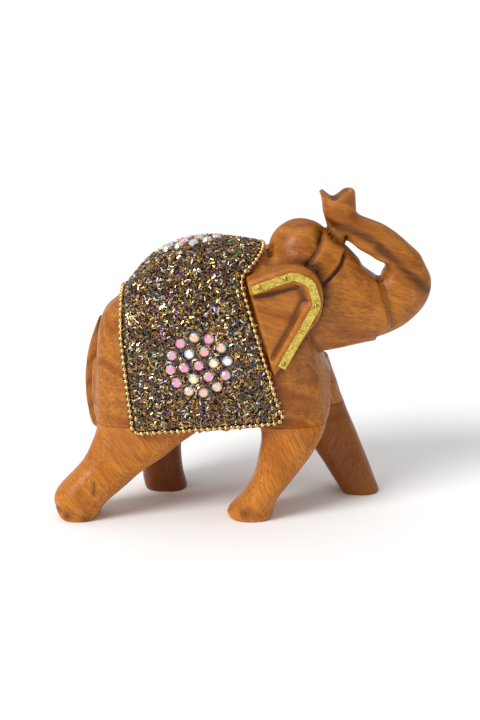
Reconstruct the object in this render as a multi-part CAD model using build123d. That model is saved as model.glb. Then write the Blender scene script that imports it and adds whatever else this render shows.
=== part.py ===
from build123d import *

import os
from math import asin, atan2, cos, copysign, pi, radians, sin

# A carved wooden elephant in millimetres. The head looks towards +X and its right side is -Y.
# In the tables, "rise" is a height above the glued leg joints, and "drop" is a height measured
# from the crown, the level of the forehead, where a minus sign is below it.

# Carved body
leg_height = 42.0  # floor to the glued joint of the legs
crown_rise = 80.4  # glued joint to the crown
body_width = 54.0
belly_drop = 6.0  # belly below the glued joint, between the legs
belly_radius = 17.0
core_drop = 18.0  # how far the barrel's sections run down before the underside is cut flat
upper_power = 2.4  # roundness of the barrel's upper half
lower_power = 6.0  # squarer lower half, so that the flanks hang nearly straight
head_power = 2.8
trunk_power = 2.3
leg_power = 2.5
dome_radius = 14.0
belly_rear_x = -17.0
belly_front_x = 5.0

# Ears
ear_proud = 3.0  # ear face outside the flank
ear_thickness = 15.0  # from the ear face in to the neck, so that no gap is left behind the ear
ear_rim = 6.0  # raised rim round the hollow of the ear
ear_hollow = 1.2
hollow_run = 14.0  # carries the hollow out past the ear's rear edge

# Glued joints
dowel_radius = 3.0
dowel_length = 20.0
dowel_clearance = 0.05
dowel_end_gap = 0.25
tail_width = 9.0
tail_seat_x = -61.5  # bottom of the slot that the tail is let into
tail_clearance = 0.1
glue_gap = 0.02  # between a rounded piece and the face that it is glued on

# Saddle cloth, beads and chain
cloth_thickness = 1.0
bead_coat_thickness = 1.7
hem_corner_radius = 3.5
collar_radius = 5.0
flank_bend_radius = 20.0
border_width = 2.6  # bare cloth left for the chain
ball_radius = 1.0
ball_pitch = 2.6
link_radius = 0.35
back_steps = 36  # places where the chain's curve is measured over the back
hem_steps = 24  # and along a hem

# Flat-back stones
stone_radius = 2.5
stone_table_radius = 1.5
stone_girdle = 0.8
stone_crown = 1.3
inner_ring_radius = 6.3
outer_ring_radius = 12.0
flower_turn = 9.0  # degrees
side_flower_x = -18.6
side_flower_rise = 29.0
top_flower_x = -22.8
top_flower_y = 5.0
pocket_clearance = 0.15

# Brass on the ears
strip_width = 3.4
strip_thickness = 0.6
strip_bend_radius = 5.0
nail_head_radius = 1.1
nail_head_height = 0.7
nail_shank_radius = 0.4
nail_length = 6.0
nail_clearance = 0.05

half_body = body_width / 2
crown_height = leg_height + crown_rise
ear_face = half_body + ear_proud
far = 200.0  # longer than any piece, for cutters
LOW_END = Align.MIN
HIGH_END = Align.MAX
MIDDLE = Align.CENTER

# Barrel, rump to chest: place along X, drop of the top line, inset of the flank
BARREL = [
    (-65.0, -54.0, 14.0),
    (-62.0, -40.0, 9.0),
    (-57.0, -31.5, 5.0),
    (-52.0, -27.4, 2.5),
    (-42.0, -15.8, 0.5),
    (-30.0, -8.2, 0.0),
    (-16.0, -5.0, 0.0),
    (-2.0, -6.0, 0.0),
    (8.0, -8.0, 0.5),
    (20.0, -17.0, 3.0),
    (30.0, -42.0, 7.0),
    (37.5, -60.0, 14.0),
]

# Head, neck to face: place along X, drop of the top, drop of the jaw, half width
HEAD = [
    (0.0, -13.0, -58.4, 19.0),
    (12.0, -9.5, -59.4, 19.0),
    (24.0, -0.4, -54.4, 17.5),
    (36.0, -1.9, -51.9, 16.0),
    (46.0, -10.4, -49.9, 15.0),
    (57.0, -19.4, -47.6, 12.5),
]
DOME = (24.5, -8.9)

# Trunk, face to tip: inner and outer point of each section as (x, drop), and its half width
TRUNK = [
    ((50.0, -18.4), (50.0, -46.9), 12.0),
    ((56.5, -19.4), (58.5, -46.2), 11.5),
    ((58.6, -17.9), (69.0, -41.4), 10.5),
    ((60.0, -16.6), (79.0, -29.9), 9.8),
    ((60.6, -15.2), (80.6, -19.9), 9.2),
    ((59.6, -13.8), (75.2, -9.9), 8.6),
    ((55.5, -11.4), (65.0, -0.8), 8.0),
    ((47.5, -7.8), (53.5, 4.8), 7.4),
    ((38.5, -2.9), (48.0, 7.4), 7.0),
    ((34.6, 5.1), (46.6, 11.6), 6.9),
    ((32.2, 17.2), (45.7, 18.2), 7.2),
]
trunk_elbow = 4  # the station where the trunk turns back over the head
NOTCH = (38.2, 13.4)
notch_width = 9.0

# Legs, sole to joint: share of the leg's height, back and front along X,
# inset of the outer face from the ear's face, inner face from the middle
LEGS = {
    "rear_right": [
        (0.00, -79.0, -65.0, 2.5, 10.5),
        (0.10, -81.3, -61.2, 1.5, 9.5),
        (0.21, -82.0, -57.5, 1.2, 9.3),
        (0.30, -80.6, -53.0, 1.4, 9.1),
        (0.42, -76.0, -47.5, 2.0, 8.5),
        (0.56, -70.4, -39.8, 2.6, 7.4),
        (0.72, -66.5, -30.5, 3.2, 6.8),
        (0.86, -64.2, -22.5, 4.0, 6.2),
        (1.00, -62.5, -18.5, 4.2, 6.0),
    ],
    "front_right": [
        (0.00, -5.2, 11.6, 2.4, 10.1),
        (0.10, -6.0, 13.3, 1.6, 9.4),
        (0.21, -1.5, 14.9, 1.4, 9.1),
        (0.30, 1.1, 17.5, 1.6, 8.9),
        (0.42, 3.9, 21.4, 2.0, 8.5),
        (0.56, 5.8, 25.9, 2.6, 7.9),
        (0.72, 7.0, 30.6, 3.2, 7.3),
        (0.86, 7.6, 34.0, 4.0, 6.5),
        (1.00, 8.0, 36.0, 4.2, 6.3),
    ],
    "front_left": [
        (0.00, 44.5, 61.6, 7.5, 4.5),
        (0.20, 39.2, 58.4, 7.0, 4.5),
        (0.43, 33.2, 54.6, 6.0, 5.0),
        (0.70, 26.0, 50.0, 5.0, 5.5),
        (1.00, 19.0, 45.0, 4.2, 6.3),
    ],
    "rear_left": [
        (0.00, -44.5, -25.6, 2.6, 8.9),
        (0.12, -45.6, -26.8, 2.2, 8.8),
        (0.30, -46.2, -28.0, 2.4, 8.4),
        (0.50, -47.6, -28.0, 2.8, 7.7),
        (0.75, -50.0, -25.5, 3.6, 6.6),
        (1.00, -52.5, -21.5, 4.2, 6.0),
    ],
}
shoulder_rise = 21.0  # the left shoulder runs on up from the leg that steps forward
SHOULDER_TOP = (21.0, 37.5, 5.2, 7.3)  # back, front, inset and inner face, as in the legs

# Tail: outer outline as (x, drop), top to tip
TAIL = [(-62.4, -38.4), (-65.6, -46.4), (-67.8, -55.4), (-68.8, -66.4), (-68.2, -76.4), (-66.4, -85.4)]
tail_tip_drop = -89.7

# Cloth edge: hem corners as (x, rise), the others as (x, drop)
REAR_HEM = (-47.8, -2.6)
FRONT_HEM = (18.2, 2.2)
REAR_FLANK = (-52.2, -40.2)
FRONT_NECK = (-0.3, -16.4)
FRONT_COLLAR = (10.1, -6.2)

# Ear outline as (x, drop), rear corner over the top, then its lower tip, and the brass strip
EAR = [
    (0.9, -15.5),
    (10.8, -12.0),
    (23.1, -9.9),
    (29.6, -13.5),
    (32.6, -19.9),
    (32.8, -26.4),
    (30.8, -32.4),
]
EAR_TIP = (12.8, -56.8)
STRIP = [(3.4, -18.9), (20.6, -12.7), (27.6, -15.6), (30.4, -25.0), (15.8, -52.0)]
NAIL_PLACES = [0.05, 0.22, 0.54, 0.97]  # share of the way along the strip


def from_joint(place):
    """(x, z) of a place given as (x, rise)."""
    return (place[0], leg_height + place[1])


def from_crown(place):
    """(x, z) of a place given as (x, drop)."""
    return (place[0], crown_height + place[1])


def rounded_face(plane, half_width, half_height, upper, lower, count=28):
    """A rounded box on a plane, with its own squareness above and below its middle."""
    points = []
    for index in range(count):
        angle = 2 * pi * (index + 0.5) / count
        across, along = cos(angle), sin(angle)
        power = 2 / (upper if along > 0 else lower)
        x = half_width * copysign(abs(across) ** power, across)
        y = half_height * copysign(abs(along) ** power, along)
        points.append((x, y))
    return plane * make_face(Spline(points, periodic=True))


def cross_section(x, half_width, top, base, upper, lower):
    """A section across the body at one place along it."""
    plane = Plane(origin=(x, 0, (top + base) / 2), x_dir=(0, 1, 0), z_dir=(1, 0, 0))
    return rounded_face(plane, half_width, (top - base) / 2, upper, lower)


def side_extrusion(edges, depth, both=False):
    """A solid drawn in side view and run out towards the right."""
    return extrude(Plane.XZ * make_face(edges), depth, both=both)


def to_side(right_piece, side):
    """The piece itself on the right, its mirror image on the left."""
    return right_piece if side < 0 else mirror(right_piece, about=Plane.XZ)


# The carved block


def barrel(extra):
    """The body's barrel, grown by extra all round."""
    base = leg_height - core_drop
    sections = []
    for x, drop, inset in BARREL:
        top = crown_height + drop + extra
        half_width = half_body - inset + extra
        sections.append(cross_section(x, half_width, top, base, upper_power, lower_power))
    return loft(sections)


def head():
    sections = []
    for x, top_drop, jaw_drop, half_width in HEAD:
        top = crown_height + top_drop
        jaw = crown_height + jaw_drop
        sections.append(cross_section(x, half_width, top, jaw, head_power, head_power))
    x, z = from_crown(DOME)
    return loft(sections) + Pos(x, 0, z) * Sphere(dome_radius)


def trunk_section(inner, outer, half_width):
    inner_x, inner_z = from_crown(inner)
    outer_x, outer_z = from_crown(outer)
    across = Vector(outer_x - inner_x, 0, outer_z - inner_z)
    middle = ((inner_x + outer_x) / 2, 0, (inner_z + outer_z) / 2)
    plane = Plane(origin=middle, x_dir=(0, 1, 0), z_dir=across.cross(Vector(0, 1, 0)))
    return rounded_face(plane, half_width, across.length / 2, trunk_power, trunk_power)


def trunk():
    sections = [trunk_section(*station) for station in TRUNK]
    root = loft(sections[: trunk_elbow + 1])
    elbow = loft(sections[trunk_elbow : trunk_elbow + 2])
    raised = loft(sections[trunk_elbow + 1 :])
    x, z = from_crown(NOTCH)
    wedge = Box(notch_width, far, notch_width, align=(LOW_END, MIDDLE, LOW_END))
    return (root + elbow + raised) - Pos(x, 0, z) * Rot(0, -45, 0) * wedge


def shoulder():
    """The left shoulder, which carries on the slant of the leg below it."""
    lower = LEGS["front_left"][-1]
    upper = (lower[0] + shoulder_rise / leg_height, *SHOULDER_TOP)
    return loft([leg_section(lower, 1), leg_section(upper, 1)])


def ear():
    """The right ear: a slab standing proud of the neck, with a shallow hollow in its rim."""
    top = [from_crown(place) for place in EAR]
    tip = from_crown(EAR_TIP)
    slab = side_extrusion([Spline(top), Line(top[-1], tip), Line(tip, top[0])], ear_thickness)
    strip = [from_crown(place) for place in STRIP]
    open_side = [(x - hollow_run, z) for x, z in (strip[-1], strip[0])]
    hollow_outline = Polyline(*strip, *open_side, close=True)
    hollow = extrude(Plane.XZ * offset(make_face(hollow_outline), -ear_rim / 2), ear_hollow)
    inner_face = ear_face - ear_thickness
    return Pos(0, -inner_face, 0) * slab - Pos(0, ear_hollow - ear_face, 0) * hollow


def belly():
    """The round of the belly, which hangs below the joints between the legs."""
    length = belly_front_x - belly_rear_x
    height = leg_height - belly_drop + belly_radius
    round_bar = Cylinder(belly_radius, length, align=(MIDDLE, MIDDLE, LOW_END))
    return Pos(belly_rear_x, 0, height) * Rot(0, 90, 0) * round_bar


def under_cut():
    """Cutter for the flat underside that the legs are glued to."""
    return Pos(0, 0, leg_height) * Box(far, far, far, align=(MIDDLE, MIDDLE, HIGH_END))


def torso():
    ears = [to_side(ear(), side) for side in (-1, 1)]
    block = (barrel(0) - under_cut()) + belly() + head() + trunk() + shoulder() + ears
    bores = [dowel_bore(name) for name in LEGS]
    return block - tail_slot() - bores - strip_bores(-1) - strip_bores(1)


# Legs, dowels and tail


def leg_side(name):
    return -1 if name.endswith("right") else 1


def leg_span(station):
    """Middle and half width of a leg's section across the body."""
    inset, inner = station[3:]
    outer = ear_face - inset
    return (outer + inner) / 2, (outer - inner) / 2


def leg_section(station, side):
    share, back, front = station[:3]
    middle, half_width = leg_span(station)
    plane = Plane(origin=((back + front) / 2, side * middle, share * leg_height))
    return rounded_face(plane, (front - back) / 2, half_width, leg_power, leg_power)


def joint_place(name):
    """Centre of the glued joint at the top of one leg."""
    top = LEGS[name][-1]
    return Pos((top[1] + top[2]) / 2, leg_side(name) * leg_span(top)[0], leg_height)


def dowel_bore(name):
    return joint_place(name) * Cylinder(dowel_radius + dowel_clearance, dowel_length + 2 * dowel_end_gap)


def dowel(name):
    return joint_place(name) * Cylinder(dowel_radius, dowel_length)


def leg(name):
    sections = [leg_section(station, leg_side(name)) for station in LEGS[name]]
    return loft(sections) - dowel_bore(name)


def tail():
    outline = [from_crown(place) for place in TAIL]
    top = (tail_seat_x, outline[0][1])
    tip = from_crown((tail_seat_x, tail_tip_drop))
    edges = [Line(top, outline[0]), Spline(outline), Line(outline[-1], tip), Line(tip, top)]
    return side_extrusion(edges, tail_width / 2, both=True)


def tail_slot():
    top = from_crown(TAIL[0])[1] + tail_clearance
    slot = Box(far, tail_width + 2 * tail_clearance, far, align=(HIGH_END, MIDDLE, HIGH_END))
    return Pos(tail_seat_x, 0, top) * slot


# Brass on the ears


def strip_path():
    return FilletPolyline(*[from_crown(place) for place in STRIP], radius=strip_bend_radius)


def nail_places(side):
    """Where each nail goes through the face of one strip, with +Z looking outward."""
    face_y = side * (ear_face + strip_thickness)
    points = [strip_path() @ share for share in NAIL_PLACES]
    return [Pos(point.X, face_y, point.Y) * Rot(-90 * side, 0, 0) for point in points]


def strip_bores(side):
    bore = Cylinder(nail_shank_radius + nail_clearance, 2 * (nail_length + nail_clearance))
    return [place * bore for place in nail_places(side)]


def ear_strip(side):
    flat = Plane.XZ * trace(strip_path(), strip_width)
    right_strip = Pos(0, -ear_face, 0) * extrude(flat, strip_thickness)
    return to_side(right_strip, side) - strip_bores(side)


def nail():
    """A round-headed nail: the underside of its head at the origin, its head towards +Z."""
    point = (0, -nail_length)
    shank_end = (nail_shank_radius, nail_shank_radius - nail_length)
    shank_top = (nail_shank_radius, 0)
    rim = (nail_head_radius, 0)
    crown = (0, nail_head_height)
    cap_radius = (nail_head_radius**2 + nail_head_height**2) / (2 * nail_head_height)
    cap_centre = nail_head_height - cap_radius
    half_turn = asin(nail_head_radius / cap_radius) / 2
    cap_middle = (cap_radius * sin(half_turn), cap_centre + cap_radius * cos(half_turn))
    cap = ThreePointArc(rim, cap_middle, crown)
    edges = [Polyline(point, shank_end, shank_top, rim), cap, Line(crown, point)]
    return revolve(Plane.XZ * make_face(edges), Axis.Z)


def ear_nails(side):
    return Compound([place * nail() for place in nail_places(side)])


# Saddle cloth and its beads


def cloth_outline():
    """The cloth seen from the side, left open above the back."""
    sky = far / 4
    corners = [
        from_crown((REAR_FLANK[0], sky)),
        from_crown(REAR_FLANK),
        from_joint(REAR_HEM),
        from_joint(FRONT_HEM),
        from_crown(FRONT_NECK),
        from_crown(FRONT_COLLAR),
        from_crown((FRONT_COLLAR[0], sky)),
    ]
    radii = [0, flank_bend_radius, hem_corner_radius, hem_corner_radius, 0, collar_radius, 0]
    return make_face(FilletPolyline(*corners, radius=radii, close=True))


def skin(inner, outer, inset):
    """A skin between two growths of the barrel, cut to the cloth's outline less an inset."""
    outline = offset(cloth_outline(), -inset) if inset else cloth_outline()
    cutter = extrude(Plane.XZ * outline, far / 2, both=True)
    return (barrel(outer) - barrel(inner)) & cutter


def surface_hit(surface, origin, direction):
    """Where a ray leaves the body, and the outward normal there."""
    heading = Vector(*direction)
    point, normal = surface.find_intersection_points(Axis(origin, direction))[-1]
    return point, normal if normal.dot(heading) > 0 else -normal


def seat(surface, origin, direction):
    """A place on a surface, whose +Z looks outward."""
    point, normal = surface_hit(surface, origin, direction)
    return Plane(origin=point + normal * glue_gap, z_dir=normal).location


def flower_places(centre_x, centre_y):
    """One stone in the middle, six round it and twelve outside."""
    places = [(centre_x, centre_y)]
    for radius, count in ((inner_ring_radius, 6), (outer_ring_radius, 12)):
        for index in range(count):
            angle = radians(flower_turn) + 2 * pi * index / count
            places.append((centre_x + radius * cos(angle), centre_y + radius * sin(angle)))
    return places


def side_seats(surface, side):
    centre_x, centre_z = from_joint((side_flower_x, side_flower_rise))
    return [seat(surface, (x, 0, z), (0, side, 0)) for x, z in flower_places(centre_x, centre_z)]


def top_seats(surface):
    """The flower on the back, bent over the spine so that its spacing stays even."""
    seats = []
    for x, across in flower_places(top_flower_x, top_flower_y):
        angle = across / half_body
        seats.append(seat(surface, (x, 0, crown_height - half_body), (0, sin(angle), cos(angle))))
    return seats


def stone():
    girdle = Cylinder(stone_radius, stone_girdle, align=(MIDDLE, MIDDLE, LOW_END))
    crown = Cone(stone_radius, stone_table_radius, stone_crown, align=(MIDDLE, MIDDLE, LOW_END))
    return girdle + Pos(0, 0, stone_girdle) * crown


def bead_coat(seats):
    coat = skin(cloth_thickness, cloth_thickness + bead_coat_thickness, border_width)
    pocket = Cylinder(stone_radius + pocket_clearance, 4 * bead_coat_thickness)
    for places in seats.values():
        coat -= [place * pocket for place in places]
    return coat


# Ball chain


def edge_x(height, corners):
    """Place along X of the cloth's edge at a height, from its corners listed upwards."""
    for (low_x, low_z), (high_x, high_z) in zip(corners, corners[1:]):
        if height <= high_z:
            return low_x + (high_x - low_x) * (height - low_z) / (high_z - low_z)
    return corners[-1][0]


def spaced(trail):
    """Points one ball pitch apart along a smooth curve through a trail."""
    curve = Spline(trail)
    count = round(curve.length / ball_pitch)
    return [curve @ (index / count) for index in range(count + 1)]


def ball_centre(surface, origin, direction):
    point, normal = surface_hit(surface, origin, direction)
    return point + normal * (ball_radius + glue_gap)


def over_the_back(surface, corners, inset, low_z):
    """Ball centres from one hem over the back to the other, along an edge of the cloth."""
    middle_z = leg_height + crown_rise / 2
    lowest = atan2(low_z - middle_z, half_body)
    x = corners[0][0] + inset
    trail = []
    for step in range(back_steps + 1):
        angle = lowest + (pi - 2 * lowest) * step / back_steps
        direction = (0, -cos(angle), sin(angle))
        nearby, _ = surface_hit(surface, (x, 0, middle_z), direction)
        x = edge_x(nearby.Z, corners) + inset
        trail.append(ball_centre(surface, (x, 0, middle_z), direction))
    return spaced(trail)


def along_hem(surface, side, corner_rise):
    """Ball centres along one hem and round its two lower corners."""
    inset = border_width / 2
    rear_x, rear_z = from_joint(REAR_HEM)
    front_x, front_z = from_joint(FRONT_HEM)
    path = FilletPolyline(
        (edge_x(rear_z + corner_rise, rear_corners()) + inset, rear_z + corner_rise),
        (rear_x + inset, rear_z + inset),
        (front_x - inset, front_z + inset),
        (edge_x(front_z + corner_rise, front_corners()) - inset, front_z + corner_rise),
        radius=hem_corner_radius - inset,
    )
    trail = []
    for step in range(hem_steps + 1):
        point = path @ (step / hem_steps)
        trail.append(ball_centre(surface, (point.X, 0, point.Y), (0, side, 0)))
    return spaced(trail)


def rear_corners():
    return [from_joint(REAR_HEM), from_crown(REAR_FLANK)]


def front_corners():
    return [from_joint(FRONT_HEM), from_crown(FRONT_NECK), from_crown(FRONT_COLLAR)]


def chain(centres):
    """Balls with the bare stretch of a short straight link between each pair."""
    pieces = [Pos(*centre) * Sphere(ball_radius) for centre in centres]
    for start, end in zip(centres, centres[1:]):
        bare = (end - start).length - 2 * (ball_radius + glue_gap)
        place = Plane(origin=(start + end) / 2, z_dir=end - start).location
        pieces.append(place * Cylinder(link_radius, bare))
    return Compound(pieces)


def chains(surface):
    inset = border_width / 2
    corner_rise = hem_corner_radius + ball_pitch
    found = {}
    for word, corners, shift in (("rear", rear_corners(), inset), ("front", front_corners(), -inset)):
        low = corners[0][1] + corner_rise + ball_pitch
        found["chain_" + word] = chain(over_the_back(surface, corners, shift, low))
    for word, side in (("right", -1), ("left", 1)):
        found["chain_hem_" + word] = chain(along_hem(surface, side, corner_rise))
    return found


# All the pieces

cloth_face = barrel(cloth_thickness).shell()
seats = {
    "right": side_seats(cloth_face, -1),
    "left": side_seats(cloth_face, 1),
    "top": top_seats(cloth_face),
}

parts = {"torso": torso(), "tail": tail()}
for name in LEGS:
    parts["leg_" + name] = leg(name)
    parts["dowel_" + name] = dowel(name)
parts["saddle_cloth"] = skin(0, cloth_thickness, 0)
parts["bead_coat"] = bead_coat(seats)
for word, places in seats.items():
    parts["stones_" + word] = Compound([place * stone() for place in places])
parts.update(chains(cloth_face))
for word, side in (("right", -1), ("left", 1)):
    parts["ear_strip_" + word] = ear_strip(side)
    parts["ear_nails_" + word] = ear_nails(side)

# The origin goes under the middle of the whole piece, with the soles on the floor
whole = Compound([piece for piece in parts.values()]).bounding_box()
centring = Pos(-whole.center().X, -whole.center().Y, -whole.min.Z)

os.makedirs("parts", exist_ok=True)
for node, piece in parts.items():
    export_step(centring * piece, "parts/" + node + ".step")
    print(node, len(piece.solids()), "solids", round(piece.volume, 1), "mm3")
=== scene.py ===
# %% [markdown]
# # A carved wooden elephant in its beaded saddle cloth
# The elephant stands about 14 cm high. One block of a warm brown hardwood gives the back, the
# head, the raised trunk and both ears, and the four legs are glued on under it. A cloth covered
# in loose glass beads lies over the back, with a ball chain round its edge and three flowers of
# flat-backed stones. The CAD model is loaded first, as a frame that nothing here moves: every
# piece below is either one of its nodes with a better finish, or a piece made in its place.

# %% Load the frame
import math
import random

import bpy
import numpy as np
from mathutils import Matrix, Vector
from mathutils.kdtree import KDTree


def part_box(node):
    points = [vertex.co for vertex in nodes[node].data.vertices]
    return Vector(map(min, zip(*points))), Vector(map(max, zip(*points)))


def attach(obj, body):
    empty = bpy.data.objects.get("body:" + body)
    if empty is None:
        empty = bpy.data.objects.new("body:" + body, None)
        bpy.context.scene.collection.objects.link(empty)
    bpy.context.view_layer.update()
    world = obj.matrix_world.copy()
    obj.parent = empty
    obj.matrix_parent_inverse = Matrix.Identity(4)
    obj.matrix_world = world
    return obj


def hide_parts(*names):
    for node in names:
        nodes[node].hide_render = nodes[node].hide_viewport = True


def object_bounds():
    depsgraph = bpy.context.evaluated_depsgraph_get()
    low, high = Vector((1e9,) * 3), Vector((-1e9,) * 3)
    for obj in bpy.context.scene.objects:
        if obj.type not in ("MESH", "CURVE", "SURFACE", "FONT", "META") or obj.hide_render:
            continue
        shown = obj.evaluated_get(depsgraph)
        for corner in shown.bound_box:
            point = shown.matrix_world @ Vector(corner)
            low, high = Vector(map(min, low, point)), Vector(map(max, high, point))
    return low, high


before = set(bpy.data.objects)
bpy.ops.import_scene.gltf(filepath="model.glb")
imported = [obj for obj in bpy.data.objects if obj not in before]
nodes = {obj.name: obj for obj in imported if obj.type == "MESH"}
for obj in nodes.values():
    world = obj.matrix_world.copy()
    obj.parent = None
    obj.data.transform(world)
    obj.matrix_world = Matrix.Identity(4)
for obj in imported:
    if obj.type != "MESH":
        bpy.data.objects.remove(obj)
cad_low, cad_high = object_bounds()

MM = 0.001
rng = random.Random(11)
bpy.context.tool_settings.mesh_select_mode = (False, False, True)
print("CAD box in mm:", [round(v / MM, 1) for v in (*cad_low, *cad_high)])


def deselect():
    bpy.ops.object.select_all(action="DESELECT")


def pick(piece):
    """Makes one piece the only one selected, and the active one."""
    deselect()
    piece.select_set(True)
    bpy.context.view_layer.objects.active = piece


def points_mm(piece):
    """The piece's points in millimetres, one row each."""
    flat = np.empty(len(piece.data.vertices) * 3, np.float32)
    piece.data.vertices.foreach_get("co", flat)
    return flat.reshape(-1, 3).astype(float) / MM


def move_points(piece, places):
    piece.data.vertices.foreach_set("co", (places * MM).astype(np.float32).ravel())
    piece.data.update()


def normals_of(piece):
    flat = np.empty(len(piece.data.vertices) * 3, np.float32)
    piece.data.vertices.foreach_get("normal", flat)
    return flat.reshape(-1, 3).astype(float)


def edges_of(piece):
    flat = np.empty(len(piece.data.edges) * 2, np.int32)
    piece.data.edges.foreach_get("vertices", flat)
    return flat.reshape(-1, 2)


def copy_of_node(name, new_name):
    """A new piece with the same mesh as a CAD node, its doubled points merged."""
    copy = bpy.data.objects.new(new_name, nodes[name].data.copy())
    bpy.context.scene.collection.objects.link(copy)
    pick(copy)
    bpy.ops.object.mode_set(mode="EDIT")
    bpy.ops.mesh.select_all(action="SELECT")
    bpy.ops.mesh.remove_doubles(threshold=1e-6)
    bpy.ops.object.mode_set(mode="OBJECT")
    return copy


def ease(x, start, end):
    """0 before start, 1 after end, and a smooth slope between them."""
    t = np.clip((x - start) / (end - start), 0.0, 1.0)
    return t * t * (3 - 2 * t)


def box_cutter(name, low, high):
    deselect()
    bpy.ops.mesh.primitive_cube_add(size=1, location=(Vector(low) + Vector(high)) / 2)
    cutter = bpy.context.object
    cutter.name = name
    cutter.scale = Vector(high) - Vector(low)
    bpy.ops.object.transform_apply(location=True, rotation=True, scale=True)
    return cutter


def prism_cutter(outline, depth):
    """A cutter drawn in side view, run through the piece from right to left."""
    far = len(outline)
    places = [(x * MM, y * MM, z * MM) for y in (-depth, depth) for x, z in outline]
    ring = [(i, (i + 1) % far, far + (i + 1) % far, far + i) for i in range(far)]
    mesh = bpy.data.meshes.new("prism")
    mesh.from_pydata(places, [], [list(range(far))[::-1], list(range(far, 2 * far)), *ring])
    piece = bpy.data.objects.new("prism", mesh)
    bpy.context.scene.collection.objects.link(piece)
    pick(piece)
    bpy.ops.object.mode_set(mode="EDIT")
    bpy.ops.mesh.select_all(action="SELECT")
    bpy.ops.mesh.normals_make_consistent(inside=False)
    bpy.ops.object.mode_set(mode="OBJECT")
    return piece


def cut(piece, cutter, operation):
    pick(piece)
    step = piece.modifiers.new("cut", "BOOLEAN")
    step.operation = operation
    step.solver = "MANIFOLD"
    step.object = cutter
    bpy.ops.object.modifier_apply(modifier=step.name)


def duplicate(piece, name):
    pick(piece)
    bpy.ops.object.duplicate()
    bpy.context.object.name = name
    return bpy.context.object


def discard(*pieces):
    for piece in pieces:
        bpy.data.objects.remove(piece)


# %% [markdown]
# ## The carved block, roughed out
# A carver saws the outline first, then rounds it with a gouge, and glues the legs on before the
# last passes, so that hip and shoulder run on into the legs. The same is done here: copies of
# the CAD torso and legs are joined, and a voxel remesh makes them one skin of even small faces,
# fine enough to be carved by moving its points. Each leg is pushed a little way into its seat
# first, because the remesh needs the blocks to overlap. A bevel would round an edge but it
# couldn't close the step between two separate blocks.

# %% Join the blocks into one skin
LEGS = ["leg_rear_right", "leg_rear_left", "leg_front_right", "leg_front_left"]
VOXEL = 0.66 * MM
joint_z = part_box("leg_rear_right")[1].z / MM

TRUNK_GAP = [(43.6, 119.6), (60.4, 109.4), (61.0, 107.5), (58.8, 100.4), (44.2, 115.6)]
blanks = [copy_of_node("torso", "carved_block")]
gap_cutter = prism_cutter(TRUNK_GAP, 40.0)
cut(blanks[0], gap_cutter, "DIFFERENCE")
discard(gap_cutter)
for leg in LEGS:
    blank = copy_of_node(leg, leg + "_blank")
    places = points_mm(blank)
    places[places[:, 2] > joint_z - 0.1, 2] += 1.0
    move_points(blank, places)
    blanks.append(blank)
carved = blanks[0]
deselect()
for blank in blanks:
    blank.select_set(True)
bpy.context.view_layer.objects.active = carved
bpy.ops.object.join()
carved.data.remesh_voxel_size = VOXEL
bpy.ops.object.voxel_remesh()
print("points in the carved skin:", len(carved.data.vertices))

# %% [markdown]
# ## Sanding
# Sanding pulls every point towards the middle of its neighbours. With a weight for each point,
# one place can be sanded long and its neighbour not at all, which is how a hip is blended while
# the ear beside it keeps its edge.

# %% Sand the skin
pairs = edges_of(carved)
count = len(carved.data.vertices)
degree = np.bincount(pairs.ravel(), minlength=count).astype(float)


def neighbour_mean(values):
    total = np.bincount(pairs[:, 0], values[pairs[:, 1]], count)
    total += np.bincount(pairs[:, 1], values[pairs[:, 0]], count)
    return total / degree


def sand(places, weight, rounds):
    for _ in range(rounds):
        for axis in range(3):
            drift = neighbour_mean(places[:, axis]) - places[:, axis]
            places[:, axis] += weight * drift
    return places


skin = points_mm(carved)
joint_zone = 1 - ease(abs(skin[:, 2] - joint_z), 2.0, 9.0)
skin = sand(skin, 0.85 * joint_zone, 60)
elbow = ease(skin[:, 0], 60.0, 66.0) * ease(skin[:, 2], 92.0, 98.0)
skin = sand(skin, 0.8 * elbow, 25)
depth_in = abs(skin[:, 1])
neck = ease(skin[:, 0], 4.0, 8.0) * (1 - ease(skin[:, 0], 24.0, 29.0))
neck *= ease(skin[:, 2], 104.0, 108.0) * (1 - ease(skin[:, 2], 114.0, 119.0))
neck *= ease(depth_in, 7.0, 9.0) * (1 - ease(depth_in, 19.0, 22.0))
skin = sand(skin, 0.8 * neck, 25)
skin = sand(skin, np.full(count, 0.55), 4)
move_points(carved, skin)
skin_normals = normals_of(carved)
print("sanded", count, "points")

# %% [markdown]
# ## Gouges and knives
# The details are cut with a few tools, as on the bench. A gouge runs along a drawn line and
# leaves a groove or, pushed from both sides, a ridge. A knife lowers the wood on one side of a
# line, which leaves a step, and a raised field is left standing inside an outline. Each tool
# moves points along the surface's own direction. Lines are drawn in side view as (x, z) in
# millimetres, and both sides of the head are cut alike.

# %% Carving tools
# Holds the real dark marks, such as cracks, chips and glued seams, together with painted shade in the grooves and
# creases.
stain_and_shade = np.zeros(count)


def line_distance(places, line):
    """Distance of each point from a drawn line, in side view."""
    flat = places[:, [0, 2]]
    nearest = np.full(len(flat), 1e9)
    for a, b in zip(line, line[1:]):
        a, b = np.array(a, float), np.array(b, float)
        run = b - a
        share = np.clip(((flat - a) @ run) / (run @ run), 0, 1)
        gap = flat - a - share[:, None] * run
        nearest = np.minimum(nearest, np.hypot(gap[:, 0], gap[:, 1]))
    return nearest


def inside(places, outline):
    """True for the points within an outline, in side view."""
    x, z = places[:, 0], places[:, 2]
    within = np.zeros(len(places), bool)
    for (ax, az), (bx, bz) in zip(outline, outline[1:] + outline[:1]):
        if az != bz:
            crossing = (az > z) != (bz > z)
            within ^= crossing & (x < ax + (z - az) * (bx - ax) / (bz - az))
    return within


def signed_distance(places, outline):
    """Distance from an outline, positive within it."""
    gap = line_distance(places, outline + outline[:1])
    return np.where(inside(places, outline), gap, -gap)


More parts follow.
